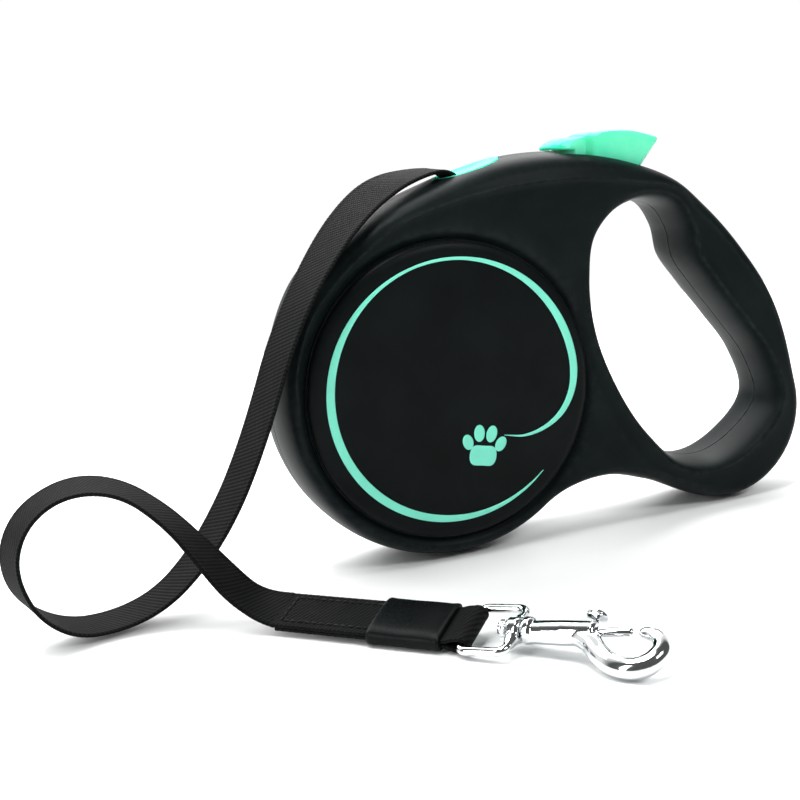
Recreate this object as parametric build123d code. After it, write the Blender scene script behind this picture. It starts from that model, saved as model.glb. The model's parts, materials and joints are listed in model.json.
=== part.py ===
from build123d import *
import math
import os

# Retractable leash with a woven tape.  Millimetres, +Z up, +X towards the grip, -Y the printed side.
# The case stands upright on its belly and on the foot of the grip, so the floor is Z = 0.
# The origin lies on the floor, below the middle of the case.

# Case
SPOOL_X, SPOOL_Z = -39.0, 54.0      # spool axis, which runs along Y
CASE_R = 54.0                       # round front and belly of the case
HANDLE_X, HANDLE_Z = 62.3, 30.7     # centre of the round foot of the grip
HANDLE_R = 30.7
CASE_HALF = 17.0                    # half thickness at the spool
GRIP_HALF = 13.2                    # half thickness at the far end of the grip
TAPER_START_X = -10.0               # the case gets thinner behind this point
WALL = 2.4
CAVITY_HALF = 13.2                  # inner half width round the spool
EDGE_R = 6.0
GRIP_EDGE_R = 3.5

# Cover discs
DISC_R = 46.5
DISC_FACE = 18.5                    # half thickness over both discs
DISC_SEAT = 15.8
DISC_GAP = 0.7

# Spool
AXLE_R = 3.0
AXLE_HALF = 14.4
BUSH_BORE = 3.05
BUSH_R = 4.6
HUB_R, HUB_BORE = 20.3, 18.0
FLANGE_R = 46.0
TEETH_R = 49.0
TEETH = 24
TAPE_WIDTH = 15.0
TAPE_THICK = 1.1
WOUND_LENGTH = 4350.0
TAPE_ROOM = 7.9                     # half distance between the flanges
FLANGE_THICK = 1.8

# Brake
PIVOT_X, PIVOT_Z = 1.0, 112.0
PIVOT_R = 1.5
LEVER_HUB_R = 4.0
SLOT_START_X, SLOT_END_X = 7.2, 41.2
SLOT_HALF = 9.3
BUTTON_HALF = 8.75
SPRING_X, SPRING_SEAT_Z, SPRING_TOP_Z = 11.0, 99.5, 111.0

# Outlet guide
GUIDE_X, GUIDE_Z, GUIDE_TILT = -22.0, 120.9, 13.0
GUIDE_LONG, GUIDE_WIDE = 11.5, 9.6  # half length and half width of its oval
GUIDE_CORNER = 8.0
GUIDE_RIM, GUIDE_DEEP = 0.5, 5.2
DISH_R, DISH_DEPTH = 26.0, 1.5
MOUTH_X, MOUTH_LONG = -4.8, 5.6

# Screws through the case, as X, Z
SCREWS = [(4.0, 21.5), (-42.0, 109.6), (55.5, 96.5), (87.2, 34.0), (57.0, 7.6)]
SCREW_R, SCREW_HEAD_R, SCREW_HEAD_Y, BOSS_R = 1.4, 2.6, 8.8, 4.0

# Free tape: its route from the outlet to the sewn end.  The tube stands for the flat strap.
TAPE_TUBE_D = 3.0
TUBE_GAP = 0.3                      # between the strip inside the case and the tube
TAPE_ROUTE = [
    (-25.9, 0, 116.7),
    (-28.4, 0, 121.2),
    (-38.0, 0, 121.4),
    (-52.0, -2, 118.3),
    (-67.4, -10, 108.5),
    (-82.0, -17, 93.0),
    (-91.9, -17, 75.7),
    (-99.0, -17, 58.4),
    (-105.5, -17, 44.3),
    (-112.9, -16.5, 30.6),
    (-122.8, -16, 17.2),
    (-134.9, -16, 6.6),
    (-148.5, -16, 2.2),
    (-163.0, -19, 3.6),
    (-174.2, -21, 13.4),
    (-177.4, -22, 27.6),
    (-171.4, -23, 40.0),
    (-158.5, -24, 46.6),
    (-144.5, -27, 44.6),
    (-133.2, -31, 35.0),
    (-124.6, -34.5, 22.8),
    (-117.6, -37.5, 12.4),
    (-110.7, -39.1, 5.5),
    (-105.55, -43.5, 4.6),
]

# Tape end, sleeve and hook: a line along the tape end, leaning sideways on its lower edge
END_POINT = Vector(-66.3, -85.2, 4.6)   # middle of the swivel bow's bar
END_DIRECTION = Vector(0.685, -0.7285, 0)
END_LEAN = 16.0
BOW_LIFT = 4.5
HOOK_ROLL = 12.0
SLEEVE_LENGTH, SLEEVE_WIDTH, SLEEVE_THICK = 21.5, 17.6, 5.2
SLEEVE_END = -5.6                       # along the tape end, from the bow's bar
SEWN_START = -57.0
SEWN_THICK = 2.4
BAR_R = 1.25
BAR_GAP = 0.08                          # between the bar and the tape round it
BOW_HALF, BOW_LENGTH = 9.1, 13.2        # to the middle of its wire
BOW_CORNER = 1.5
STEM_R = 1.8
BARREL_R, BARREL_V, BARREL_END = 3.1, -0.5, 35.5
BOLT_V, BOLT_R = 0.1, 1.3
BOLT_START, BOLT_END = 30.2, 44.6
KNOB_U = 34.2
WIRE_R = 2.4
NOSE = [                                # the hook's curved nose, in its own plane
    (30.0, -0.9),
    (34.4, -3.6),
    (37.6, -7.0),
    (40.8, -9.5),
    (44.2, -10.8),
    (47.6, -10.9),
    (51.0, -9.0),
    (52.6, -5.4),
    (52.0, -2.8),
    (50.2, -0.9),
    (47.4, 0.1),
]

os.makedirs("parts", exist_ok=True)


def side_plane(y):
    """A sketch plane that faces -Y: sketch x is X and sketch y is Z."""
    return Plane(origin=(0, y, 0), x_dir=(1, 0, 0), z_dir=(0, -1, 0))


def slab(sketch, y_low, y_high):
    """Extrude an X-Z sketch between two Y values."""
    return extrude(side_plane(y_high) * sketch, amount=y_high - y_low)


def disc(x, z, radius, y_low, y_high):
    return slab(Pos(x, z) * Circle(radius), y_low, y_high)


def ring(x, z, outer, inner, y_low, y_high):
    return slab(Pos(x, z) * (Circle(outer) - Circle(inner)), y_low, y_high)


def block(x_low, x_high, z_low, z_high, y_low, y_high):
    middle = ((x_low + x_high) / 2, (y_low + y_high) / 2, (z_low + z_high) / 2)
    return Pos(*middle) * Box(x_high - x_low, y_high - y_low, z_high - z_low)


def on_spool(radius, angle):
    """The X and Z of a point round the spool axis."""
    turn = math.radians(angle)
    return SPOOL_X + radius * math.cos(turn), SPOOL_Z + radius * math.sin(turn)


def helix_spring(x, y, z_low, z_high, radius, wire, turns):
    """A closed compression spring that stands along Z."""
    height = z_high - z_low - 2 * wire
    path = Pos(x, y, z_low + wire) * Helix(height / turns, height, radius)
    start = Plane(origin=path @ 0, z_dir=path % 0)
    return sweep(start * Circle(wire), path=path, is_frenet=True)


# Outlines ---------------------------------------------------------------------------------------

def beside(curve, point, inset):
    """A point of a counterclockwise curve, moved inwards."""
    along = curve.tangent_at(curve.param_at_point(Vector(*point)))
    return Vector(*point) + Vector(-along.Y, along.X) * inset


def inset_spline(points, tangents, inset):
    curve = Spline(*points, tangents=tangents)
    return Spline(*[beside(curve, point, inset) for point in points], tangents=tangents)


def case_outline(inset):
    belly = CenterArc((SPOOL_X, SPOOL_Z), CASE_R, 158, 147)
    foot = CenterArc((HANDLE_X, HANDLE_Z), HANDLE_R, 250, 130)
    waist = inset_spline([belly @ 1, (14, 15.6), (32, 11.0), foot @ 0], [belly % 1, foot % 0], inset)
    over = [
        foot @ 1, (88.4, 55.5), (82.7, 70.8), (72.5, 86.4), (60.3, 100.7), (48, 111.3), (30, 119.4),
        (8, 123.7), (-14, 123.1), (-38, 116.9), (-62, 107.0), (-80, 92.8), belly @ 0,
    ]
    back = inset_spline(over, [foot % 1, belly % 0], inset)
    belly = CenterArc((SPOOL_X, SPOOL_Z), CASE_R - inset, 158, 147)
    foot = CenterArc((HANDLE_X, HANDLE_Z), HANDLE_R - inset, 250, 130)
    return make_face(belly + waist + foot + back)


def grip_outline(inset):
    points = [
        (37, 104.9), (24, 102.3), (16.6, 95), (14, 83), (15, 65), (21.5, 46), (31.5, 29.5), (43.5, 17.8),
        (57, 15.2), (71, 20.8), (81.3, 32), (77.5, 46.5), (67.3, 61.5), (57.5, 74.5), (51, 84.5),
        (48.8, 95), (44, 102.3),
    ]
    curve = Spline(*points, periodic=True)
    return make_face(Spline(*[beside(curve, point, inset) for point in points], periodic=True))


def plan_body(half, end_half, reach):
    """The -Y half of the case's plan: full thickness at the spool, thinner along the grip."""
    far = HANDLE_X + HANDLE_R + reach
    near = SPOOL_X - CASE_R - reach
    start = Line((near, 0), (near, -half))
    flat = Line(start @ 1, (TAPER_START_X, -half))
    taper = TangentArc(flat @ 1, (far, -end_half), tangent=(1, 0))
    close = Polyline(taper @ 1, (far, 0), start @ 0)
    return extrude(make_face(start + flat + taper + close), amount=200)


CASE = case_outline(0)
GRIP = grip_outline(0)


def guide_plane():
    tilt = math.radians(GUIDE_TILT)
    along = (math.cos(tilt), 0, math.sin(tilt))
    normal = (-math.sin(tilt), 0, math.cos(tilt))
    return Plane(origin=(GUIDE_X, 0, GUIDE_Z), x_dir=along, z_dir=normal)


# Case -------------------------------------------------------------------------------------------

def border_distance(edge, outline):
    """How far an edge's middle lies from an outline's border, seen along Y."""
    middle = edge @ 0.5
    return outline.wire().distance_to(Vector(middle.X, middle.Z, 0))


def round_rim(body, outline, radius):
    """Round the -Y rim that follows an outline."""
    rims = body.edges().filter_by(lambda edge: edge.center().Y < -GRIP_HALF + 1.5)
    return fillet(rims.filter_by(lambda edge: border_distance(edge, outline) < 0.01), radius)


def half_body():
    body = slab(CASE - GRIP, -CASE_HALF, 0) & plan_body(CASE_HALF, GRIP_HALF, 1)
    body = round_rim(body, CASE, EDGE_R)
    return round_rim(body, GRIP, GRIP_EDGE_R)


def half_cavity():
    room = case_outline(WALL) - grip_outline(-WALL)
    return slab(room, -CAVITY_HALF, 0) & plan_body(CAVITY_HALF, GRIP_HALF - WALL, 1)


def shell():
    """The printed-side half, with its bosses, before the screw holes that differ."""
    outside = half_body()
    body = outside - half_cavity()
    bosses = disc(SPOOL_X, SPOOL_Z, 7, -CAVITY_HALF - 1, -10.4)
    for x, z in SCREWS:
        bosses += disc(x, z, BOSS_R, -CAVITY_HALF - 1, 0)
    body += bosses & outside
    body -= disc(SPOOL_X, SPOOL_Z, DISC_R + DISC_GAP, -DISC_FACE - 1, -DISC_SEAT)
    body -= disc(SPOOL_X, SPOOL_Z, AXLE_R, -AXLE_HALF, 0)
    body -= disc(PIVOT_X, PIVOT_Z, PIVOT_R, -CAVITY_HALF - 1.2, 0)
    body -= block(SLOT_START_X, SLOT_END_X, 112.0, 130, -SLOT_HALF, 0)
    body -= extrude(guide_plane() * guide_oval(0.1), amount=8, both=True)
    return body


def left_shell():
    body = shell()
    for x, z in SCREWS:
        body -= disc(x, z, SCREW_R, -9, 0)
    return body + block(SPRING_X - 4, SPRING_X + 3, SPRING_SEAT_Z - 3, SPRING_SEAT_Z, -CAVITY_HALF - 0.5, 3)


def right_shell():
    body = mirror(shell(), about=Plane.XZ)
    for x, z in SCREWS:
        body -= disc(x, z, SCREW_R + 0.1, 0, SCREW_HEAD_Y)
        body -= disc(x, z, SCREW_HEAD_R + 0.2, SCREW_HEAD_Y, CASE_HALF + 1)
    return body


def cover_disc():
    body = disc(SPOOL_X, SPOOL_Z, DISC_R, -DISC_FACE, -DISC_SEAT)
    return fillet(body.edges().group_by(Axis.Y)[0], 1.0)


def case_screws():
    screws = []
    for x, z in SCREWS:
        head = disc(x, z, SCREW_HEAD_R, SCREW_HEAD_Y, SCREW_HEAD_Y + 1.8)
        cross = block(x - 1.4, x + 1.4, z - 0.35, z + 0.35, SCREW_HEAD_Y + 0.9, SCREW_HEAD_Y + 2)
        cross += block(x - 0.35, x + 0.35, z - 1.4, z + 1.4, SCREW_HEAD_Y + 0.9, SCREW_HEAD_Y + 2)
        screws.append(head + disc(x, z, SCREW_R - 0.02, -8.6, SCREW_HEAD_Y) - cross)
    return Compound(children=[screw.solid() for screw in screws])


def guide_oval(gap):
    return RectangleRounded(2 * (GUIDE_LONG + gap), 2 * (GUIDE_WIDE + gap), GUIDE_CORNER + gap)


def outlet_guide():
    """An oval insert with a round dish and, at its front, the mouth for the tape."""
    body = Pos(0, 0, GUIDE_RIM - GUIDE_DEEP / 2) * extrude(guide_oval(0), GUIDE_DEEP / 2, both=True)
    dish = Pos(0, 0, GUIDE_RIM - DISH_DEPTH + DISH_R) * Sphere(DISH_R)
    mouth = Pos(MOUTH_X, 0, 0) * Box(MOUTH_LONG, TAPE_WIDTH + 0.6, 20)
    return guide_plane().location * (body - dish - mouth)


# Spool ------------------------------------------------------------------------------------------

def spool_drum():
    tooth = 360 / TEETH
    points = []
    for index in range(TEETH):
        points.append(on_spool(FLANGE_R, index * tooth))
        points.append(on_spool(TEETH_R, index * tooth + 0.5))
        points.append(on_spool(TEETH_R, index * tooth + 3.5))
        points.append(on_spool(FLANGE_R, index * tooth + 11.0))
    toothed = make_face(Polyline(*points, close=True))
    body = slab(toothed, -TAPE_ROOM - FLANGE_THICK, -TAPE_ROOM)
    body += ring(SPOOL_X, SPOOL_Z, HUB_R, HUB_BORE, -TAPE_ROOM, TAPE_ROOM)
    body += disc(SPOOL_X, SPOOL_Z, 7, -TAPE_ROOM, -6.4)
    body -= disc(SPOOL_X, SPOOL_Z, BUSH_R, -20, 20)
    x, z = on_spool((HUB_R + HUB_BORE) / 2, 90)
    return body - disc(x, z, 0.75, -TAPE_ROOM, TAPE_ROOM)


def spool_flange():
    body = ring(SPOOL_X, SPOOL_Z, FLANGE_R, 12, TAPE_ROOM, TAPE_ROOM + 1.6)
    for index in range(6):
        x, z = on_spool(33, index * 60 + 30)
        body -= disc(x, z, 6.5, TAPE_ROOM - 1, TAPE_ROOM + 3)
    return body


def wound_tape():
    area = WOUND_LENGTH * TAPE_THICK
    outer = math.sqrt(area / math.pi + HUB_R ** 2)
    return ring(SPOOL_X, SPOOL_Z, outer, HUB_R, -TAPE_WIDTH / 2, TAPE_WIDTH / 2), outer


def tape_inner_run(pack_radius):
    """The straight strip from the pack's tangent point to the outlet's mouth."""
    end = Vector(TAPE_ROUTE[0][0], TAPE_ROUTE[0][2], 0)
    start_radius = pack_radius + TAPE_THICK / 2 + 0.15
    reach = end - Vector(SPOOL_X, SPOOL_Z, 0)
    angle = math.degrees(math.atan2(reach.Y, reach.X) - math.acos(start_radius / reach.length))
    start = Vector(*on_spool(start_radius, angle), 0)
    along = (end - start).normalized()
    across = Vector(-along.Y, along.X, 0) * (TAPE_THICK / 2)
    end -= along * TUBE_GAP
    corners = [start + across, end + across, end - across, start - across]
    strip = make_face(Polyline(*[(c.X, c.Y) for c in corners], close=True))
    return slab(strip, -TAPE_WIDTH / 2, TAPE_WIDTH / 2)


def clock_spring():
    turns, start, pitch, thick = 6.5, 4.2, 1.95, 0.45
    inner, outer = [], []
    steps = int(turns * 12)
    for step in range(steps + 1):
        angle = step * 30
        radius = start + pitch * angle / 360
        inner.append(on_spool(radius, angle))
        outer.append(on_spool(radius + thick, angle))
    face = make_face(
        Spline(*inner) + Line(inner[-1], outer[-1]) + Spline(*reversed(outer)) + Line(outer[0], inner[0])
    )
    return slab(face, -5.5, 5.5)


# Brake ------------------------------------------------------------------------------------------

def brake_lever():
    body = disc(PIVOT_X, PIVOT_Z, LEVER_HUB_R, -11, 7)
    body += block(PIVOT_X, 38.5, 111.0, 114.6, -4, 4)
    arm = Polyline((-3, 112), (5, 112), (3, 91.5), (-3, 91.5), close=True)
    body += slab(make_face(arm), -11, -8.2)
    return body - disc(PIVOT_X, PIVOT_Z, PIVOT_R + 0.05, -20, 20)


def brake_pawl():
    tip = Polyline((-3, 91.5), (3, 91.5), (2.4, 87.3), (-0.2, 87.3), close=True)
    return slab(make_face(tip), -11, -8.2)


def thumb_pad():
    outline = Polyline((17.4, 114.6), (17.4, 128.0), (19.5, 128.6), (29, 128.5), (37, 127.2), (44.6, 125.0),
                       (45.1, 124.2), (36.8, 114.6), close=True)
    body = slab(make_face(outline), -BUTTON_HALF, BUTTON_HALF)
    return fillet(body.edges().filter_by(Axis.Y, reverse=True).group_by(Axis.Z)[-1], 0.8)


def lock_slide():
    outline = Polyline((5.2, 124.9), (7.5, 126.3), (12, 127.4), (16.9, 127.5), (16.9, 119.4), (16.6, 118.0),
                       (9.0, 118.0), (9.0, 119.6), (11.2, 119.6), (11.2, 124.9), close=True)
    body = slab(make_face(outline), -BUTTON_HALF, BUTTON_HALF)
    foot = block(11, 15, 115.4, 118.0, -3, 3)
    plate = block(9.0, 16.6, 118.0, 119.2, -10.8, 10.8)
    return body + foot + plate


# Tape end, sleeve and hook ----------------------------------------------------------------------

def end_plane():
    along = END_DIRECTION.normalized()
    level = Vector(0, 0, 1).cross(along)
    lean = math.radians(END_LEAN)
    across = level * math.cos(lean) + Vector(0, 0, 1) * math.sin(lean)
    return Plane(origin=END_POINT, x_dir=along, z_dir=along.cross(across))


def bow_plane():
    base = end_plane()
    lift = math.radians(BOW_LIFT)
    along = base.x_dir * math.cos(lift) + base.z_dir * math.sin(lift)
    return Plane(origin=END_POINT, x_dir=along, z_dir=along.cross(base.y_dir))


def hook_plane():
    base = bow_plane()
    roll = math.radians(HOOK_ROLL)
    across = base.y_dir * math.cos(roll) + base.z_dir * math.sin(roll)
    return Plane(origin=END_POINT, x_dir=base.x_dir, z_dir=base.x_dir.cross(across))


def along_x(radius, start, end, y=0, z=0):
    """A cylinder along the local x axis."""
    return Pos((start + end) / 2, y, z) * Rot(0, 90, 0) * Cylinder(radius, end - start)


def place(solid, plane):
    return plane.location * solid


def leash_tape():
    radii = []
    for before, here, after in zip(TAPE_ROUTE, TAPE_ROUTE[1:], TAPE_ROUTE[2:]):
        incoming = Vector(*here) - Vector(*before)
        outgoing = Vector(*after) - Vector(*here)
        turn = math.radians(incoming.get_angle(outgoing))
        shorter = min(incoming.length, outgoing.length)
        radii.append(0.45 * shorter / math.tan(turn / 2))
    print("tape radii", [round(radius, 1) for radius in radii])
    path = FilletPolyline(*TAPE_ROUTE, radius=radii)
    section = Plane(origin=path @ 0, z_dir=path % 0) * Circle(TAPE_TUBE_D / 2)
    tube = sweep(section, path=path)
    expected = math.pi * TAPE_TUBE_D ** 2 / 4 * path.length
    print("tape length", round(path.length, 1), "volume", round(tube.volume), "expected", round(expected))
    return tube


def sewn_tape_end():
    length = SLEEVE_END - SEWN_START
    strip = Pos(SEWN_START + length / 2, 0, 0) * Box(length, TAPE_WIDTH, SEWN_THICK)
    return place(strip, end_plane())


def end_sleeve():
    middle = SLEEVE_END - SLEEVE_LENGTH / 2
    body = Box(SLEEVE_LENGTH, SLEEVE_WIDTH, SLEEVE_THICK)
    body = fillet(body.edges().filter_by(Axis.X), 1.5)
    body = body - Box(SLEEVE_LENGTH + 2, TAPE_WIDTH + 0.2, SEWN_THICK + 0.1)
    return place(Pos(middle, 0, 0) * body, end_plane())


def tape_end_loop():
    inner = BAR_R + BAR_GAP
    outer = inner + TAPE_THICK
    profile = Circle(outer) + Pos(SLEEVE_END / 2, 0) * Rectangle(-SLEEVE_END, 2 * outer)
    hollow = Circle(inner) + Pos(SLEEVE_END / 2 + 0.8, 0) * Rectangle(-SLEEVE_END - 1.6, 2 * inner)
    solid = extrude(Plane.XZ * (profile - hollow), amount=TAPE_WIDTH / 2, both=True)
    return place(solid, end_plane())


def swivel_bow():
    """A rectangular wire loop with a thick cross piece that holds the hook's stem."""
    route = (Pos(BOW_LENGTH / 2, 0) * RectangleRounded(BOW_LENGTH, 2 * BOW_HALF, BOW_CORNER)).wire()
    wire = sweep(Plane(origin=route @ 0, z_dir=route % 0) * Circle(BAR_R), path=route)
    eye = along_x(3.4, BOW_LENGTH - 2.0, BOW_LENGTH + 2.0)
    hole = along_x(STEM_R + 0.06, BOW_LENGTH - 5, BOW_LENGTH + 5)
    return place(wire + eye - hole, bow_plane())


def hook_body():
    collar = BOW_LENGTH + 2.3
    body = along_x(2.8, BOW_LENGTH - 4.6, BOW_LENGTH - 2.3)
    body += along_x(STEM_R, BOW_LENGTH - 3, collar + 1)
    body += along_x(3.7, collar, collar + 3)
    body += along_x(BARREL_R, collar + 3, BARREL_END, y=BARREL_V)
    nose = Spline(*NOSE)
    wire = sweep(Plane(origin=nose @ 0, z_dir=nose % 0) * Circle(WIRE_R), path=nose)
    body += wire + Pos(*NOSE[-1]) * Sphere(WIRE_R)
    body -= along_x(BOLT_R + 0.05, 21, BOLT_END + 0.2, y=BOLT_V)
    body -= Pos(KNOB_U - 3.6, BOLT_V + 4, 0) * Box(12.6, 8, 1.7)
    return place(body, hook_plane())


def hook_bolt():
    rod = along_x(BOLT_R, BOLT_START, BOLT_END, y=BOLT_V)
    return place(rod, hook_plane())


def thumb_knob():
    stem = Pos(KNOB_U, BOLT_V + BOLT_R + 1.2, 0) * Rot(90, 0, 0) * Cylinder(0.75, 2.4)
    head = Pos(KNOB_U, BOLT_V + BOLT_R + 3.4, 0) * Rot(90, 0, 0) * Cylinder(2.4, 2.0)
    return place(stem + head, hook_plane())


def bolt_spring():
    """Drawn at its pressed length, at the closed end of the barrel's bore."""
    path = Helix(1.1, 1.9, 0.85)
    wire = sweep(Plane(origin=path @ 0, z_dir=path % 0) * Circle(0.25), path=path, is_frenet=True)
    return place(Pos(21.3, BOLT_V, 0) * Rot(0, 90, 0) * wire, hook_plane())


def washers():
    gap = 0.05
    left = ring(SPOOL_X, SPOOL_Z, 6.5, AXLE_R + 0.05, -10.4 + gap, -9.7 - gap)
    right = ring(SPOOL_X, SPOOL_Z, 6.5, AXLE_R + 0.05, 9.6, 10.4 - gap)
    return Compound(children=[left.solid(), right.solid()])


def build():
    pack, pack_radius = wound_tape()
    x, z = on_spool((HUB_R + HUB_BORE) / 2, 90)
    return {
        "left_shell": left_shell(),
        "right_shell": right_shell(),
        "left_cover_disc": cover_disc(),
        "right_cover_disc": mirror(cover_disc(), about=Plane.XZ),
        "outlet_guide": outlet_guide(),
        "case_screws": case_screws(),
        "axle": disc(SPOOL_X, SPOOL_Z, AXLE_R - 0.02, -AXLE_HALF, AXLE_HALF),
        "spool_washers": washers(),
        "spool_bush": ring(SPOOL_X, SPOOL_Z, BUSH_R, BUSH_BORE, -9.7, -6.4),
        "spool_drum": spool_drum(),
        "spool_flange": spool_flange(),
        "spring_lid": ring(SPOOL_X, SPOOL_Z, HUB_BORE - 0.05, BUSH_BORE, 6.2, TAPE_ROOM),
        "wound_tape": pack,
        "tape_anchor_pin": disc(x, z, 0.7, -TAPE_ROOM + 0.1, TAPE_ROOM - 0.1),
        "clock_spring": clock_spring(),
        "tape_inner_run": tape_inner_run(pack_radius),
        "brake_lever": brake_lever(),
        "brake_pawl": brake_pawl(),
        "thumb_pad": thumb_pad(),
        "lock_slide": lock_slide(),
        "lever_pivot_pin": disc(PIVOT_X, PIVOT_Z, PIVOT_R - 0.01, -CAVITY_HALF - 1, CAVITY_HALF + 1),
        "brake_spring": helix_spring(SPRING_X, 0, SPRING_SEAT_Z, SPRING_TOP_Z, 2.2, 0.4, 5),
        "leash_tape": leash_tape(),
        "sewn_tape_end": sewn_tape_end(),
        "end_sleeve": end_sleeve(),
        "tape_end_loop": tape_end_loop(),
        "swivel_bow": swivel_bow(),
        "hook_body": hook_body(),
        "hook_bolt": hook_bolt(),
        "thumb_knob": thumb_knob(),
        "bolt_spring": bolt_spring(),
    }


for name, solid in build().items():
    export_step(solid, f"parts/{name}.step")
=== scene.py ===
import json
import math
import bmesh
import bpy
import numpy as np
from mathutils import Matrix, Vector
from mathutils.geometry import delaunay_2d_cdt


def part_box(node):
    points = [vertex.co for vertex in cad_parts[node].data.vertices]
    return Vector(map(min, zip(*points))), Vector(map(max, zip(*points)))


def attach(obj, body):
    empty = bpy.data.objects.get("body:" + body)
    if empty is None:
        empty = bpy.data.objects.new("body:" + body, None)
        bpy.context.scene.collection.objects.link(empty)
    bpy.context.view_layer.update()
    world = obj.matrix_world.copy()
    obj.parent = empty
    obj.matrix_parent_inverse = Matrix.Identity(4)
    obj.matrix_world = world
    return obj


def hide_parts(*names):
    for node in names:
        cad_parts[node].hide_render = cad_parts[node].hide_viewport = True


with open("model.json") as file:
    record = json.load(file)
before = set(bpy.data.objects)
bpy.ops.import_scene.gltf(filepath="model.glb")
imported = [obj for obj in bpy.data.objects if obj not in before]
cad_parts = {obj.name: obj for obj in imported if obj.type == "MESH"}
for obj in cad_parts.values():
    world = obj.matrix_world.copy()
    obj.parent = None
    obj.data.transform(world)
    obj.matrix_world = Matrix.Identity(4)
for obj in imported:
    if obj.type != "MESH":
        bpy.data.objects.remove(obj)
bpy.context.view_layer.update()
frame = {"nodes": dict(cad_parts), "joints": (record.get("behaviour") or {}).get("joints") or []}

MM = 0.001
NODES = frame["nodes"]
JOINTS = {joint["name"]: joint for joint in frame["joints"]}


def joint_point(name):
    return Vector(JOINTS[name]["pos_m"]) / MM


def joint_axis(name):
    return Vector(JOINTS[name]["axis"]).normalized()


SPOOL = joint_point("spool_spin")
SPOOL_X, SPOOL_Z = SPOOL.x, SPOOL.z
PIVOT = joint_point("brake_press")
DISC_LOW, DISC_HIGH = (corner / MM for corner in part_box("left_cover_disc"))
DISC_R = (DISC_HIGH.x - DISC_LOW.x) / 2
DISC_FACE = -DISC_LOW.y


# Camera -----------------------------------------------------------------------------------------

def make_camera():
    yaw, pitch, roll = (math.radians(angle) for angle in (18.716, 10.957, 5.5))
    level = Vector((math.cos(yaw), -math.sin(yaw), 0))
    forward = Vector((math.sin(yaw) * math.cos(pitch), math.cos(yaw) * math.cos(pitch), -math.sin(pitch)))
    upright = level.cross(forward)
    right = level * math.cos(roll) - upright * math.sin(roll)
    up = level * math.sin(roll) + upright * math.cos(roll)
    data = bpy.data.cameras.new("camera")
    data.lens = 58.275
    data.sensor_width = 36
    data.clip_start, data.clip_end = 0.01, 20
    camera = bpy.data.objects.new("camera", data)
    matrix = Matrix((right, up, -forward)).transposed().to_4x4()
    matrix.translation = Vector((-0.18109, -0.38482, 0.12915))
    camera.matrix_world = matrix
    bpy.context.scene.collection.objects.link(camera)
    bpy.context.scene.camera = camera


make_camera()


# Material nodes ---------------------------------------------------------------------------------

class Graph:
    """A material's node tree, with short calls for its nodes."""

    def __init__(self, name):
        self.material = bpy.data.materials.new(name)
        self.material.use_nodes = True
        self.tree = self.material.node_tree
        self.shader = self.tree.nodes["Principled BSDF"]

    def add(self, kind, settings=None, **inputs):
        node = self.tree.nodes.new("ShaderNode" + kind)
        for key, value in (settings or {}).items():
            setattr(node, key, value)
        for key, value in inputs.items():
            self.put(node.inputs[int(key[1:]) if key[0] == "i" and key[1:].isdigit() else key], value)
        return node

    def put(self, socket, value):
        if isinstance(value, bpy.types.NodeSocket):
            self.tree.links.new(value, socket)
        else:
            socket.default_value = value

    def math(self, operation, first, second=0.0):
        return self.add("Math", {"operation": operation}, i0=first, i1=second).outputs[0]

    def noise(self, scale, detail=3.0, roughness=0.5, at=None):
        node = self.add("TexNoise", Scale=scale, Detail=detail, Roughness=roughness)
        self.put(node.inputs["Vector"], at or self.place())
        return node.outputs["Fac"]

    def place(self):
        return self.add("TexCoord").outputs["Object"]

    def span(self, value, low, high, start=0.0, end=1.0):
        node = self.add("MapRange")
        for key, number in zip(("From Min", "From Max", "To Min", "To Max"), (start, end, low, high)):
            node.inputs[key].default_value = number
        self.put(node.inputs["Value"], value)
        return node.outputs["Result"]

    def mix(self, factor, first, second):
        node = self.add("Mix", {"data_type": "RGBA"})
        self.put(node.inputs[0], factor)
        self.put(node.inputs[6], first)
        self.put(node.inputs[7], second)
        return node.outputs[2]

    def bump(self, height, strength, distance):
        return self.add("Bump", Height=height, Strength=strength, Distance=distance).outputs["Normal"]

    def edges(self, low=0.50, high=0.56):
        return self.span(self.add("NewGeometry").outputs["Pointiness"], 0.0, 1.0, low, high)

    def finish(self, **inputs):
        for key, value in inputs.items():
            self.put(self.shader.inputs[key.replace("_", " ")], value)
        return self.material


def shade(red, green, blue):
    return (red, green, blue, 1.0)


def moulded(name, colour, light, rough, grain=2600.0, pit=0.00003, wear=0.35):
    """Moulded plastic: a fine spark-eroded grain, faint cloudiness and paler worn edges."""
    graph = Graph(name)
    fine = graph.noise(grain, 2.0, 0.6)
    cloud = graph.noise(55.0, 4.0)
    worn = graph.math("MULTIPLY", graph.edges(), graph.span(graph.noise(420.0), 0.1, 1.0, 0.4, 0.6))
    base = graph.mix(graph.span(cloud, 0.0, 1.0, 0.35, 0.65), shade(*colour), shade(*light))
    base = graph.mix(graph.math("MULTIPLY", worn, wear), base, shade(*[min(1, c * 2.2 + 0.02) for c in light]))
    gloss = graph.math("ADD", graph.span(fine, -0.04, 0.04), graph.span(cloud, rough - 0.03, rough + 0.04))
    graph.finish(Specular_IOR_Level=0.05)
    return graph.finish(Base_Color=base, Roughness=gloss, Normal=graph.bump(fine, 0.35, pit))


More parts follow.
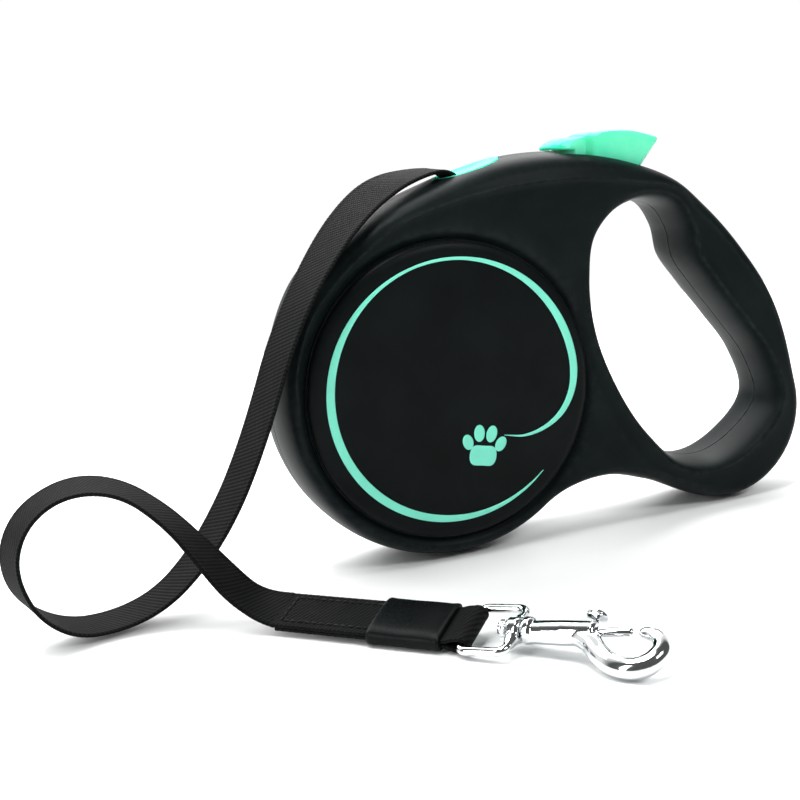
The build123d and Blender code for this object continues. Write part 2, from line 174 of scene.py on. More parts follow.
def mint_plastic(name, colour, light):
    """Tinted, slightly translucent gloss plastic, with flow marks and painted shade on its edges."""
    graph = Graph(name)
    flow = graph.noise(140.0, 3.0)
    fine = graph.noise(1800.0, 2.0)
    base = graph.mix(graph.span(flow, 0.0, 0.35, 0.3, 0.7), shade(*light), shade(*colour))
    # Painted shade: convex edges take the deeper mint, standing in for light passing through more plastic there
    base = graph.mix(graph.edges(0.505, 0.56), base, shade(*colour))
    gloss = graph.span(flow, 0.38, 0.48, 0.3, 0.7)
    graph.finish(Base_Color=base, Roughness=gloss, Normal=graph.bump(fine, 0.12, 0.00002))
    graph.finish(Subsurface_Weight=0.35, Subsurface_Scale=0.003, Subsurface_Radius=(0.5, 1.0, 0.8))
    graph.finish(Specular_IOR_Level=0.05)
    return graph.material


def print_ink(name, colour):
    """Pad-printed ink, with a faint mesh and thin spots."""
    graph = Graph(name)
    fine = graph.noise(3200.0, 2.0)
    thin = graph.noise(260.0, 4.0)
    base = graph.mix(graph.span(thin, 0.0, 0.25, 0.55, 0.75), shade(*colour), shade(*[c * 0.8 for c in colour]))
    return graph.finish(Base_Color=base, Roughness=graph.span(fine, 0.38, 0.52), Normal=graph.bump(fine, 0.2, 0.00002))


def woven(name, dark, light, pitch=0.62):
    """Twill webbing.  The UV map holds millimetres along and across the tape.  Painted shade darkens the hollows
    between threads and painted light brightens their crowns.
    """
    graph = Graph(name)
    split = graph.add("SeparateXYZ", Vector=graph.add("UVMap", {"uv_map": "UVMap"}).outputs[0])
    along, across = split.outputs[0], split.outputs[1]
    warp = graph.math("DIVIDE", across, pitch)
    thread = graph.math("FLOOR", warp)
    inside = graph.math("SUBTRACT", graph.math("FRACT", warp), 0.5)
    round_warp = graph.math("SUBTRACT", 1.0, graph.math("MULTIPLY", graph.math("MULTIPLY", inside, inside), 3.4))
    phase = graph.math("ADD", graph.math("DIVIDE", along, pitch * 2.1), graph.math("MULTIPLY", thread, 0.25))
    wave = graph.math("SINE", graph.math("MULTIPLY", phase, 2 * math.pi))
    over = graph.span(wave, 0.0, 1.0, -0.6, 0.7)
    height = graph.math("MULTIPLY", round_warp, graph.math("ADD", graph.math("MULTIPLY", over, 0.7), 0.3))
    fibre = graph.noise(5200.0, 2.0, 0.7)
    height = graph.math("ADD", height, graph.math("MULTIPLY", fibre, 0.25))
    blot = graph.noise(210.0, 3.0)
    # Painted shade in the hollows between threads and painted light on their crowns, taken from the bump height and
    # varied by random blotches
    weave_shade_and_blotch = graph.math("MULTIPLY", graph.math("MULTIPLY", height, 0.85), graph.span(blot, 0.75, 1.2, 0.3, 0.7))
    base = graph.mix(weave_shade_and_blotch, shade(*dark), shade(*light))
    normal = graph.bump(height, 0.75, 0.00022)
    graph.finish(Base_Color=base, Roughness=graph.span(height, 0.85, 0.6), Normal=normal)
    return graph.finish(Specular_IOR_Level=0.06)


def metal(name, colour, rough, scratch=0.06, blotch=30.0):
    """Plated or turned metal: hairline scratches, smudges and a faint ripple."""
    graph = Graph(name)
    streak = graph.add("Mapping", Vector=graph.place(), Scale=(1.0, 9.0, 1.0))
    hair = graph.noise(1500.0, 3.0, 0.6, streak.outputs[0])
    smudge = graph.noise(blotch * 6, 4.0)
    ripple = graph.noise(240.0, 1.0)
    gloss = graph.math("ADD", graph.span(smudge, rough * 0.7, rough * 1.5, 0.35, 0.65), graph.span(hair, -0.02, scratch))
    base = graph.mix(graph.span(smudge, 0.0, 0.4, 0.45, 0.75), shade(*colour), shade(*[c * 0.86 for c in colour]))
    bumps = graph.bump(graph.math("ADD", ripple, graph.math("MULTIPLY", hair, 0.15)), 0.05, 0.00008)
    return graph.finish(Base_Color=base, Metallic=1.0, Roughness=gloss, Normal=bumps)


CASE_BLACK = moulded("case_plastic_black", (0.0036, 0.0060, 0.0064), (0.0058, 0.0090, 0.0094), 0.42)
DISC_BLACK = moulded("disc_plastic_black", (0.0036, 0.0048, 0.0050), (0.0054, 0.0070, 0.0072), 0.36, 2200.0, wear=0.0)
MINT = mint_plastic("mint_plastic_clear", (0.01, 0.66, 0.37), (0.20, 0.90, 0.57))
MINT_INK = print_ink("mint_print_ink", (0.17, 0.74, 0.55))
TAPE = woven("tape_webbing_black", (0.0006, 0.0007, 0.0008), (0.0105, 0.011, 0.0115))
THREAD = moulded("thread_black", (0.010, 0.010, 0.011), (0.018, 0.018, 0.019), 0.55, 4200.0, 0.0001)
SLEEVE = moulded("sleeve_rubber_black", (0.003, 0.0036, 0.004), (0.005, 0.006, 0.006), 0.28, 1500.0, 0.00002, 0.2)
CHROME = metal("chrome_plate", (0.74, 0.76, 0.77), 0.06)
BRIGHT = metal("turned_steel", (0.58, 0.58, 0.60), 0.24, 0.10)
SPRING_STEEL = metal("spring_steel", (0.30, 0.31, 0.34), 0.30, 0.12)
SCREW_STEEL = metal("zinc_steel", (0.36, 0.36, 0.37), 0.34, 0.12)
NYLON = moulded("white_nylon", (0.70, 0.69, 0.64), (0.80, 0.79, 0.74), 0.42, 1400.0)
SPOOL_GREY = moulded("spool_plastic_grey", (0.11, 0.11, 0.12), (0.16, 0.16, 0.17), 0.46, 1600.0)
ACETAL = moulded("lever_acetal", (0.60, 0.60, 0.56), (0.70, 0.70, 0.66), 0.40, 1600.0)


# Mesh helpers -----------------------------------------------------------------------------------

def add_object(name, points, faces, material, uv=None, smooth=True, sharp=None):
    """A mesh object from points in millimetres."""
    mesh = bpy.data.meshes.new(name)
    mesh.from_pydata([Vector(p) * MM for p in points], [], faces)
    if uv is not None:
        layer = mesh.uv_layers.new(name="UVMap")
        for polygon in mesh.polygons:
            for loop in polygon.loop_indices:
                layer.data[loop].uv = uv(polygon.index, mesh.loops[loop].vertex_index)
    mesh.materials.append(material)
    obj = bpy.data.objects.new(name, mesh)
    bpy.context.scene.collection.objects.link(obj)
    tidy(obj, smooth, sharp)
    return obj


def tidy(obj, smooth=True, sharp=None):
    mesh = bmesh.new()
    mesh.from_mesh(obj.data)
    bmesh.ops.recalc_face_normals(mesh, faces=mesh.faces)
    mesh.to_mesh(obj.data)
    mesh.free()
    obj.data.shade_smooth() if smooth else obj.data.shade_flat()
    if sharp is not None:
        obj.data.set_sharp_from_angle(angle=math.radians(sharp))


def own(obj, body, slot, *nodes):
    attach(obj, body)
    if nodes:
        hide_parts(*nodes)
    return obj


def bake(obj):
    """Turn an object's modifiers into its mesh."""
    graph = bpy.context.evaluated_depsgraph_get()
    mesh = bpy.data.meshes.new_from_object(obj.evaluated_get(graph))
    obj.modifiers.clear()
    obj.data = mesh
    return obj


def cut(obj, cutter):
    """Take one closed mesh away from another."""
    change = obj.modifiers.new("cut", "BOOLEAN")
    change.operation = "DIFFERENCE"
    change.solver = "EXACT"
    change.object = cutter
    bpy.context.view_layer.update()
    bake(obj)
    bpy.data.objects.remove(cutter)
    return obj


def bridge(first, second, count, closed=True):
    """Quads between two rows of points, given by their first indices."""
    steps = count if closed else count - 1
    faces = []
    for index in range(steps):
        after = (index + 1) % count
        faces.append((first + index, first + after, second + after, second + index))
    return faces


def stack(rows, closed=True, cap=True):
    """Points and faces of a skin over rows of equally many points."""
    count = len(rows[0])
    points = [point for row in rows for point in row]
    faces = []
    for level in range(len(rows) - 1):
        faces += bridge(level * count, (level + 1) * count, count, closed)
    if cap:
        faces.append(tuple(range(count)))
        faces.append(tuple(reversed(range(len(points) - count, len(points)))))
    return points, faces


def lathe(name, profile, place, material, segments=96, sharp=35, cap=True):
    """A turned shape.  The profile is (radius, height) pairs; place maps a point to the object."""
    rows = []
    for radius, height in profile:
        row = []
        for index in range(segments):
            turn = 2 * math.pi * index / segments
            row.append(place(radius * math.cos(turn), radius * math.sin(turn), height))
        rows.append(row)
    points, faces = stack(rows, True, cap)
    return add_object(name, points, faces, material, sharp=sharp)


def tube_rows(points, radii, sides, across=None, flat=1.0):
    """Rings round a line of points.  flat squeezes them along the second direction."""
    rows = []
    side = across
    for index, point in enumerate(points):
        before = points[max(index - 1, 0)]
        after = points[min(index + 1, len(points) - 1)]
        along = (after - before).normalized()
        if side is None:
            side = along.orthogonal()
        side = (side - along * side.dot(along)).normalized()
        other = along.cross(side)
        row = []
        for step in range(sides):
            turn = 2 * math.pi * step / sides
            row.append(point + (side * math.cos(turn) + other * math.sin(turn) * flat) * radii[index])
        rows.append(row)
    return rows


# Plane curves -----------------------------------------------------------------------------------

def smooth_curve(points, first=None, last=None, closed=False, steps=24):
    """A smooth curve through points in a plane, with chosen end directions."""
    points = [Vector(point) for point in points]
    count = len(points)
    spans = range(count if closed else count - 1)
    gaps = [(points[(i + 1) % count] - points[i]).length for i in spans]
    slopes = []
    for i in range(count):
        if not closed and i == 0:
            slopes.append(Vector(first) if first else (points[1] - points[0]) / gaps[0])
        elif not closed and i == count - 1:
            slopes.append(Vector(last) if last else (points[-1] - points[-2]) / gaps[-1])
        else:
            before, after = gaps[i - 1], gaps[i]
            back = (points[i] - points[i - 1]) / before
            ahead = (points[(i + 1) % count] - points[i]) / after
            slopes.append((back * after + ahead * before) / (before + after))
    curve = []
    for i in spans:
        start, end = points[i], points[(i + 1) % count]
        pull, push = slopes[i] * gaps[i], slopes[(i + 1) % count] * gaps[i]
        for step in range(steps):
            t = step / steps
            curve.append(
                start * (2 * t ** 3 - 3 * t ** 2 + 1) + pull * (t ** 3 - 2 * t ** 2 + t)
                + end * (3 * t ** 2 - 2 * t ** 3) + push * (t ** 3 - t ** 2)
            )
    if not closed:
        curve.append(points[-1])
    return curve


def arc(centre, radius, start, sweep, steps=60):
    turns = [math.radians(start + sweep * i / steps) for i in range(steps + 1)]
    return [Vector((centre[0] + radius * math.cos(t), centre[1] + radius * math.sin(t))) for t in turns]


def even(curve, count, closed=True):
    """Evenly spaced points along a line of points."""
    line = np.array([tuple(point) for point in curve] + ([tuple(curve[0])] if closed else []))
    lengths = np.r_[0, np.cumsum(np.linalg.norm(np.diff(line, axis=0), axis=1))]
    marks = np.linspace(0, lengths[-1], count + (1 if closed else 0))
    if closed:
        marks = marks[:-1]
    return np.stack([np.interp(marks, lengths, line[:, axis]) for axis in range(line.shape[1])], axis=1)


def normals(loop):
    """Unit normals of a counterclockwise loop, pointing into it."""
    along = np.roll(loop, -1, axis=0) - np.roll(loop, 1, axis=0)
    along /= np.linalg.norm(along, axis=1)[:, None]
    return np.stack([-along[:, 1], along[:, 0]], axis=1)


def distance(points, line):
    """Each point's distance to the nearest of a line's points."""
    gaps = np.linalg.norm(points[:, None, :] - line[None, :, :], axis=2)
    return gaps.min(axis=1)


def inside(points, loop):
    after = np.roll(loop, -1, axis=0)
    hits = np.zeros(len(points), bool)
    for (x0, z0), (x1, z1) in zip(loop, after):
        crosses = (z0 > points[:, 1]) != (z1 > points[:, 1])
        if crosses.any():
            where = (x1 - x0) * (points[:, 1] - z0) / (z1 - z0 + 1e-12) + x0
            hits ^= crosses & (points[:, 0] < where)
    return hits


def fill(outer, holes, extra=None):
    """Triangles over a region with holes.  Returns the points, the triangles and each input point's index."""
    loops = [outer] + holes
    coords = [tuple(point) for loop in loops for point in loop]
    edges = []
    base = 0
    for loop in loops:
        edges += [(base + i, base + (i + 1) % len(loop)) for i in range(len(loop))]
        base += len(loop)
    if extra is not None:
        coords += [tuple(point) for point in extra]
    result = delaunay_2d_cdt([Vector(c) for c in coords], edges, [], 0, 1e-6)
    points = np.array([tuple(point) for point in result[0]])
    faces = [tuple(face) for face in result[2]]
    middles = np.array([points[list(face)].mean(axis=0) for face in faces])
    keep = inside(middles, outer)
    for hole in holes:
        keep &= ~inside(middles, hole)
    sources = {}
    for index, origins in enumerate(result[3]):
        for origin in origins:
            sources[origin] = index
    return points, [face for face, wanted in zip(faces, keep) if wanted], sources


def ramp(value, low, high):
    share = np.clip((value - low) / (high - low), 0, 1)
    return share * share * (3 - 2 * share)


# The tape's route -------------------------------------------------------------------------------

TAPE_ROUTE = [
    (-0.0259, 0, 0.1167),
    (-0.0284, 0, 0.1212),
    (-0.0380, 0, 0.1214),
    (-0.0520, -0.002, 0.1183),
    (-0.0674, -0.010, 0.1085),
    (-0.0820, -0.017, 0.0930),
    (-0.0919, -0.017, 0.0757),
    (-0.0990, -0.017, 0.0584),
    (-0.1055, -0.017, 0.0443),
    (-0.1129, -0.0165, 0.0306),
    (-0.1228, -0.016, 0.0172),
    (-0.1349, -0.016, 0.0066),
    (-0.1485, -0.016, 0.0022),
    (-0.1630, -0.019, 0.0036),
    (-0.1742, -0.021, 0.0134),
    (-0.1774, -0.022, 0.0276),
    (-0.1714, -0.023, 0.0400),
    (-0.1585, -0.024, 0.0466),
    (-0.1445, -0.027, 0.0446),
    (-0.1332, -0.031, 0.0350),
    (-0.1246, -0.0345, 0.0228),
    (-0.1176, -0.0375, 0.0124),
    (-0.1107, -0.0391, 0.0055),
    (-0.10555, -0.0435, 0.0046),
]
TAPE_WIDTH, TAPE_THICK = 15.0, 1.1

# How far the tape has turned about its own line, in degrees, at shares of its length
TWIST = [
    (0, 0), (0.03, -3), (0.09, -24), (0.14, -23), (0.22, -16), (0.44, -14), (0.52, -8), (0.6, -3), (0.63, 4), (0.665, 16),
    (0.70, 15), (0.76, 6), (0.82, 8), (0.88, 18), (0.94, 32), (0.97, 28),
]

END = joint_point("bow_swing")
ACROSS = -joint_axis("bow_swing")                   # across the tape's end, away from the viewer
BOW_ALONG = joint_axis("hook_swivel")
ALONG = Vector((ACROSS.y, -ACROSS.x, 0)).normalized()   # along the tape's end, towards the hook
FACE = ALONG.cross(ACROSS)                          # out of the tape's upper face
SEWN_START, SLEEVE_START, SLEEVE_END = -57.0, -27.1, -5.6


def nurbs_line(route):
    """The points of a smooth spline that has the route as its control points, in millimetres."""
    curve = bpy.data.curves.new("route", "CURVE")
    curve.dimensions = "3D"
    spline = curve.splines.new("NURBS")
    spline.points.add(len(route) - 1)
    for point, place in zip(spline.points, route):
        point.co = (*place, 1.0)
    spline.order_u = 3
    spline.use_endpoint_u = True
    spline.resolution_u = 20
    obj = bpy.data.objects.new("route", curve)
    bpy.context.scene.collection.objects.link(obj)
    bpy.context.view_layer.update()
    mesh = bpy.data.meshes.new_from_object(obj.evaluated_get(bpy.context.evaluated_depsgraph_get()))
    points = [vertex.co / MM for vertex in mesh.vertices]
    bpy.data.objects.remove(obj)
    bpy.data.meshes.remove(mesh)
    return points


def tape_section(width, thick):
    """Half a tape's outline from edge to edge, with slightly thicker selvedges, as (across, out)."""
    half = width / 2
    top = [(-half, 0.0), (-half + 0.08, thick * 0.34), (-half + 0.35, thick * 0.52)]
    top += [(-half + 1.1, thick * 0.55), (-half + 1.5, thick * 0.47)]
    top += [(half * share, thick * 0.5) for share in np.linspace(-0.7, 0.7, 9)]
    top += [(-x, y) for x, y in reversed(top[:5])]
    return top + [(x, -y) for x, y in reversed(top[1:-1])]


def strip(name, line, nears, material, width=TAPE_WIDTH, thick=TAPE_THICK, ripple=0.06):
    """A flat woven strip along a line.  nears point across it, towards its near edge."""
    section = tape_section(width, thick)
    rows, lengths = [], [0.0]
    for index, (point, near) in enumerate(zip(line, nears)):
        before = line[max(index - 1, 0)]
        after = line[min(index + 1, len(line) - 1)]
        along = (after - before).normalized()
        near = (near - along * near.dot(along)).normalized()
        out = near.cross(along)
        if index:
            lengths.append(lengths[-1] + (point - line[index - 1]).length)
        wide = 1 + ripple * math.sin(lengths[-1] * 2 * math.pi / 1.3) / (width / 2)
        rows.append([point + near * (x * wide) + out * y for x, y in section])
    points, faces = stack(rows)
    count = len(section)

    def uv(_, vertex):
        ring, place = divmod(vertex, count)
        return lengths[ring], section[place][0] + (0 if place < count / 2 else 40)

    return add_object(name, points, faces, material, uv=uv, sharp=60)


def tape_line():
    line = even(nurbs_line(TAPE_ROUTE), 470, closed=False)
    line = [Vector(point) for point in line]
    shares = np.linspace(0, 1, len(line))
    stations = [share for share, _ in TWIST] + [1.0]
    lead = (line[-1] - line[-3]).normalized()
    first = near_frame(lead)
    final = math.degrees(math.atan2(-ACROSS.dot(first[1]), -ACROSS.dot(first[0])))
    angles = [angle for _, angle in TWIST] + [final]
    turns = np.interp(shares, stations, angles)
    kernel = np.hanning(25)
    kernel /= kernel.sum()
    padded = np.r_[np.full(12, turns[0]), turns, np.full(12, turns[-1])]
    turns = np.convolve(padded, kernel, mode="valid")
    nears = []
    for index in range(len(line)):
        along = (line[min(index + 1, len(line) - 1)] - line[max(index - 1, 0)]).normalized()
        level, other = near_frame(along)
        turn = math.radians(turns[index])
        nears.append(level * math.cos(turn) + other * math.sin(turn))
    lift = ramp(shares, 0.95, 1.0) * TAPE_THICK / 2
    line = [point + FACE * float(rise) for point, rise in zip(line, lift)]
    return line, nears


def near_frame(along):
    """Two directions square to the tape's line, the first one nearest to -Y."""
    level = Vector((0, -1, 0))
    level = (level - along * level.dot(along)).normalized()
    return level, along.cross(level)


# Free tape --------------------------------------------------------------------------------------

tape_points, tape_nears = tape_line()
leash_tape = own(strip("leash_tape_woven", tape_points, tape_nears, TAPE), "case", "tape_fabric", "leash_tape")


def on_end(along, across=0.0, out=0.0):
    """A point by its place along, across and out of the tape's sewn end."""
    return END + ALONG * along + ACROSS * across + FACE * out


def sewn_end():
    """The tape's doubled end: along the top, round the bow's bar and back underneath."""
    layer = TAPE_THICK / 2 + 0.04
    bar = 1.25 + 0.12 + TAPE_THICK / 2
    places = [(x, layer) for x in np.arange(SEWN_START - 0.9, -6.0, 0.8)]
    places += [(-5.4, layer + 0.05), (-4.4, layer + 0.25), (-3.4, layer + 0.6), (-2.4, layer + 0.95), (-1.3, bar - 0.25)]
    places += [(bar * math.sin(math.radians(a)), bar * math.cos(math.radians(a))) for a in range(-10, 200, 15)]
    places += [(-2.4, -layer - 0.95), (-3.4, -layer - 0.6), (-4.4, -layer - 0.25), (-5.4, -layer - 0.05)]
    places += [(x, -layer) for x in np.arange(-6.2, SEWN_START, -0.8)]
    line = [on_end(along, 0, out) for along, out in places]
    return strip("tape_sewn_end_woven", line, [-ACROSS] * len(line), TAPE)


sewn = own(sewn_end(), "case", "tape_fabric", "sewn_tape_end", "tape_end_loop")


def stitches():
    """Two rows of locked stitches and a cross row, in black thread."""
    points, faces = [], []
    rows = [(-54.5, -28.6, 5.2), (-54.5, -28.6, -5.2)]
    places = []
    for start, end, across in rows:
        for along in np.arange(start, end, 2.3):
            places.append((along, across, along + 1.6, across))
    for across in np.arange(-4.6, 4.7, 2.3):
        places.append((-55.2, across - 0.8, -55.2, across + 0.8))
    for x0, y0, x1, y1 in places:
        line = []
        for share in np.linspace(0, 1, 7):
            rise = TAPE_THICK + 0.05 + 0.24 * math.sin(math.pi * share)
            line.append(on_end(x0 + (x1 - x0) * share, y0 + (y1 - y0) * share, rise))
        part, skin = stack(tube_rows(line, [0.1, 0.22, 0.25, 0.26, 0.25, 0.22, 0.1], 8))
        base = len(points)
        points += part
        faces += [tuple(base + index for index in face) for face in skin]
    return add_object("tape_end_stitching", points, faces, THREAD)


stitching = own(stitches(), "case", "tape_fabric")


def sleeve():
    """A moulded sleeve over the sewn end: a flattened tube, swollen at its rims."""
    rows = []
    stations = [(0.0, -0.75, 0), (0.0, -0.28, 0), (0.12, -0.08, 0), (0.45, 0.06, 0), (1.1, 0.08, 0), (2.0, -0.02, 0)]
    length = SLEEVE_END - SLEEVE_START
    body = [(share * length, -0.06, 0) for share in (0.15, 0.3, 0.45, 0.6, 0.75, 0.88)]
    ends = [(length - along, swell, 0) for along, swell, _ in reversed(stations)]
    sides = 72
    for along, swell, _ in stations + body + ends:
        row = []
        for step in range(sides):
            turn = 2 * math.pi * step / sides
            wide, tall = 8.72 + swell, 2.52 + swell
            c, s = math.cos(turn), math.sin(turn)
            x = math.copysign(abs(c) ** 0.42, c) * wide
            y = math.copysign(abs(s) ** 0.62, s) * tall
            y += 0.10 * math.sin(along * 0.55) * s
            row.append(on_end(SLEEVE_START + along, x, y))
        rows.append(row)
    points, faces = stack(rows)
    return add_object("end_sleeve_moulded", points, faces, SLEEVE, sharp=50)


sleeve_piece = own(sleeve(), "case", "sleeve_rubber", "end_sleeve")


# Case outlines ----------------------------------------------------------------------------------

CASE_R = 54.0
HANDLE_X, HANDLE_Z, HANDLE_R = 62.3, 30.7, 30.7
CASE_HALF, GRIP_HALF, TAPER_START = 17.0, 13.2, -10.0


def case_outline():
    belly = arc((SPOOL_X, SPOOL_Z), CASE_R, 158, 147)
    foot = arc((HANDLE_X, HANDLE_Z), HANDLE_R, 250, 122)
    turned = [Vector((-math.sin(math.radians(a)), math.cos(math.radians(a)))) for a in (305, 250, 372, 158)]
    waist = smooth_curve([belly[-1], (14, 15.6), (32, 11.0), foot[0]], turned[0], turned[1])
    over = [
        foot[-1], (88.4, 55.5), (82.7, 70.8), (72.5, 86.4), (60.3, 100.7), (48, 111.3), (30, 119.4),
        (8, 123.7), (-14, 123.1), (-38, 116.9), (-62, 107.0), (-80, 92.8), belly[0],
    ]
    back = smooth_curve(over, turned[2], turned[3])
    return even(belly[:-1] + waist[:-1] + foot[:-1] + back[:-1], 440)


def grip_outline():
    points = [
        (37, 104.9), (24, 102.3), (16.6, 95), (14, 83), (15, 65), (21.5, 46), (31.5, 29.5), (43.5, 17.8),
        (57, 15.2), (71, 20.8), (81.3, 32), (77.5, 46.5), (67.3, 61.5), (57.5, 74.5), (51, 84.5),
        (48.8, 95), (44, 102.3),
    ]
    return even(smooth_curve(points, closed=True), 260)


# The crease along the top of the case and down the back of the grip
CREASE = [
    (-88.5, 63), (-86.4, 70.6), (-83.3, 78.9), (-75, 89.4), (-62.7, 99.6), (-50.5, 106.9), (-32.8, 111.9),
    (-13.6, 114.2), (3.6, 114.7), (22.5, 113.2), (36.5, 109.8), (48, 104.3), (60.9, 93.0), (71.5, 80.0),
    (79.2, 68.0), (83.6, 57.5), (85.6, 47),
]
PLAIN_RIM, GRIP_RIM, AFTER_CREASE = 5.0, 3.7, 1.5
DISC_HOLE, SEAT_DEPTH = DISC_R + 0.35, 15.3


def half_thickness(x):
    return CASE_HALF - (CASE_HALF - GRIP_HALF) * (np.maximum(x - TAPER_START, 0) / 104) ** 2


def creased(points):
    """How strong the crease is at a place: full above, none at the belly, waist and foot."""
    return ramp(points[:, 1], 46, 72)


def panel_drop(points, grip):
    """How far the front panel lies below the case's full thickness."""
    radius = np.hypot(points[:, 0] - SPOOL_X, points[:, 1] - SPOOL_Z)
    groove = 1.7 * np.exp(-((radius - DISC_HOLE) / 1.5) ** 2) + 0.6 * np.exp(-((radius - DISC_HOLE) / 4.0) ** 2)
    near_grip = distance(points, grip)
    low_left = ramp(-points[:, 0], -62, -40) * ramp(-points[:, 1], -92, -74)
    lip = 0.75 * np.exp(-((near_grip - 6.2) / 1.7) ** 2) * low_left
    dish = 0.5 * ramp(points[:, 0], 44, 58) * ramp(near_grip, 2.5, 5.0)
    return 0.75 * creased(points) + groove + lip + dish


def rounded(share, power):
    return (1 - (1 - share) ** power) ** (1 / power)


def half_shell():
    """The printed-side half as a closed block: rings round both rims and a filled panel between."""
    outline, grip = case_outline(), grip_outline()
    out_in, grip_in = normals(outline), -normals(grip)
    crease = even(smooth_curve(CREASE), 500, closed=False)
    strength = creased(outline)
    radius = np.hypot(outline[:, 0] - SPOOL_X, outline[:, 1] - SPOOL_Z)
    reach = PLAIN_RIM + (distance(outline, crease) - PLAIN_RIM) * ramp(outline[:, 1], 48, 64)
    room = np.minimum(distance(outline, grip) - GRIP_RIM - 0.5, radius - DISC_HOLE - 0.35) - AFTER_CREASE
    reach = np.minimum(reach, room)
    smooth = np.hanning(15)
    smooth /= smooth.sum()
    reach = np.convolve(np.r_[reach[-7:], reach, reach[:7]], smooth, mode="valid")

    rows = []

    def row(loop, heights):
        drops = panel_drop(loop, grip)
        thick = half_thickness(loop[:, 0])
        depth = thick * heights - drops * heights ** 6
        rows.append([(x, -y, z) for (x, z), y in zip(loop, depth)])

    def plain_row(loop, depth):
        rows.append([(x, -depth, z) for x, z in loop])

    plain_row(outline + out_in * 0.2, 0.0)
    plain_row(outline + out_in * 0.02, 0.25)
    for share in (0.004, 0.015, 0.035, 0.07, 0.12, 0.18, 0.26, 0.35, 0.45, 0.56, 0.67, 0.78, 0.88, 0.95, 1.0):
        soft = rounded(share, 2.3)
        firm = rounded(share * 0.9, 2.3) / rounded(0.9, 2.3)
        crest = 0.045 * ramp(np.array(share), 0.8, 1.0) * strength
        row(outline + out_in * (share * reach)[:, None], soft + (firm - soft) * strength + crest)
    for beyond, height in ((0.35, 0.036), (0.9, 0.010), (AFTER_CREASE, 0.0)):
        row(outline + out_in * (reach + beyond)[:, None], 1 + height * strength)
    outer_rows = len(rows)
    outer_last = outline + out_in * (reach + AFTER_CREASE)[:, None]

    plain_row(grip + grip_in * 0.2, 0.0)
    plain_row(grip + grip_in * 0.02, 0.25)
    grip_first = outer_rows
    for share in (0.01, 0.04, 0.09, 0.16, 0.25, 0.36, 0.48, 0.61, 0.74, 0.87, 1.0):
        row(grip + grip_in * (share * GRIP_RIM), np.full(len(grip), rounded(share, 2.0)))
    grip_last = grip + grip_in * GRIP_RIM

    hole = np.array([(SPOOL_X + DISC_HOLE * math.cos(t), SPOOL_Z + DISC_HOLE * math.sin(t))
                     for t in np.linspace(0, 2 * math.pi, 180, endpoint=False)])
    extra = []
    pitch = 1.7
    for line, z in enumerate(np.arange(0, 126, pitch * 0.866)):
        extra += [(x + (line % 2) * pitch / 2, z) for x in np.arange(-96, 96, pitch)]
    for gap in (0.5, 1.1, 1.9, 3.0):
        extra += [(SPOOL_X + (DISC_HOLE + gap) * math.cos(t), SPOOL_Z + (DISC_HOLE + gap) * math.sin(t))
                  for t in np.linspace(0, 2 * math.pi, 180, endpoint=False)]
    extra = np.array(extra)
    wanted = inside(extra, outer_last) & ~inside(extra, grip_last) & ~inside(extra, hole)
    extra = extra[wanted]
    for loop in (outer_last, grip_last, hole):
        extra = extra[distance(extra, loop) > 0.45]

    flat, triangles, sources = fill(outer_last, [grip_last, hole], extra)
    depth = half_thickness(flat[:, 0]) - panel_drop(flat, grip)

    points = [point for line in rows for point in line]
    starts = np.cumsum([0] + [len(line) for line in rows])
    faces = []
    for level in range(outer_rows - 1):
        faces += bridge(int(starts[level]), int(starts[level + 1]), len(outline))
    for level in range(grip_first, len(rows) - 1):
        faces += bridge(int(starts[level]), int(starts[level + 1]), len(grip))
    base = len(points)
    points += [(x, -y, z) for (x, z), y in zip(flat, depth)]
    known = {}
    for index in range(len(outline)):
        known[sources[index]] = int(starts[outer_rows - 1]) + index
    for index in range(len(grip)):
        known[sources[len(outline) + index]] = int(starts[len(rows) - 1]) + index
    faces += [tuple(known.get(i, base + i) for i in face) for face in triangles]

    hole_first = len(outline) + len(grip)
    rim = [base + sources[hole_first + index] for index in range(len(hole))]
    seat = len(points)
    points += [(x, -SEAT_DEPTH, z) for x, z in hole]
    for index in range(len(hole)):
        after = (index + 1) % len(hole)
        faces.append((rim[index], rim[after], seat + after, seat + index))
    faces.append(tuple(range(seat, seat + len(hole))))

    _, closing, sources = fill(np.array([(p[0], p[2]) for p in rows[0]]),
                               [np.array([(p[0], p[2]) for p in rows[grip_first]])])
    known = {sources[index]: index for index in range(len(outline))}
    known.update({sources[len(outline) + index]: int(starts[grip_first]) + index for index in range(len(grip))})
    faces += [tuple(known[i] for i in face) for face in closing]
    obj = add_object("half", points, faces, CASE_BLACK)
    mesh = bmesh.new()
    mesh.from_mesh(obj.data)
    bmesh.ops.delete(mesh, geom=[v for v in mesh.verts if not v.link_faces], context="VERTS")
    mesh.to_mesh(obj.data)
    mesh.free()
    return obj, outline, grip, out_in, grip_in


def prism(loops, low, high):
    """A closed prism along Y over a region with holes.  low and high give Y for each point."""
    flat, faces, sources = fill(loops[0], loops[1:])
    count = len(flat)
    points = [(x, low((x, z)), z) for x, z in flat] + [(x, high((x, z)), z) for x, z in flat]
    skin = [tuple(face) for face in faces] + [tuple(count + i for i in reversed(face)) for face in faces]
    base = 0
    for loop in loops:
        for index in range(len(loop)):
            a, b = sources[base + index], sources[base + (index + 1) % len(loop)]
            skin.append((a, b, count + b, count + a))
        base += len(loop)
    return add_object("prism", points, skin, CASE_BLACK)


def block(low, high):
    corners = [(low[0], low[2]), (high[0], low[2]), (high[0], high[2]), (low[0], high[2])]
    return prism([np.array(corners, float)], lambda p: low[1], lambda p: high[1])


